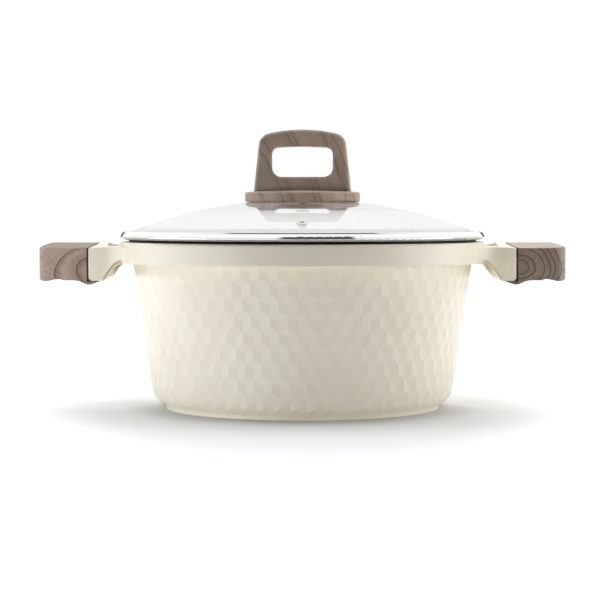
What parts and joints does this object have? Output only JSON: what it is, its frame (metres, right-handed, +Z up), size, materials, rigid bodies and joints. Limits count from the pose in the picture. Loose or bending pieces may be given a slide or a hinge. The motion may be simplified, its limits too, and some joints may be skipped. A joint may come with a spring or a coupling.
{
  "type": "casserole with glass lid",
  "caption": "Low cast casserole with a tumbling-block relief on its wall, a wood-look grip on each side and a domed glass lid in a steel rim with an arch knob.",
  "frame": {"origin": "centre of the foot ring, on the surface the pot stands on", "axes": "+X through the right-hand grip, +Y away from the steam vent, +Z up"},
  "size_m": [0.3602, 0.2504, 0.1911],
  "materials": {
    "coated_casting": "die-cast aluminium under a satin cream non-stick coating",
    "base_steel": "turned ferritic steel",
    "wood_look": "moulded phenolic with a printed wood grain, satin soft-touch",
    "fixing_steel": "plain stainless",
    "clear_glass": "clear tempered glass",
    "polished_steel": "mirror-polished stainless",
    "insert_brass": "turned brass",
    "clear_silicone": "translucent silicone"
  },
  "bodies": {
    "pot": {"pot_body": "coated_casting", "induction_plate": "base_steel", "left_grip": "wood_look", "right_grip": "wood_look", "left_grip_washer": "fixing_steel", "right_grip_washer": "fixing_steel", "left_grip_screw": "fixing_steel", "right_grip_screw": "fixing_steel"},
    "lid": {"lid_glass": "clear_glass", "lid_rim": "polished_steel", "steam_vent": "polished_steel", "lid_knob": "wood_look", "knob_insert": "insert_brass", "knob_gasket": "clear_silicone", "lower_gasket": "clear_silicone", "knob_washer": "fixing_steel", "knob_screw": "fixing_steel"}
  },
  "joints": [
    {"name": "lid_lift", "type": "slide", "parent": "pot", "child": "lid", "axis": [0, 0, 1], "range_m": [0, 0.15]}
  ]
}
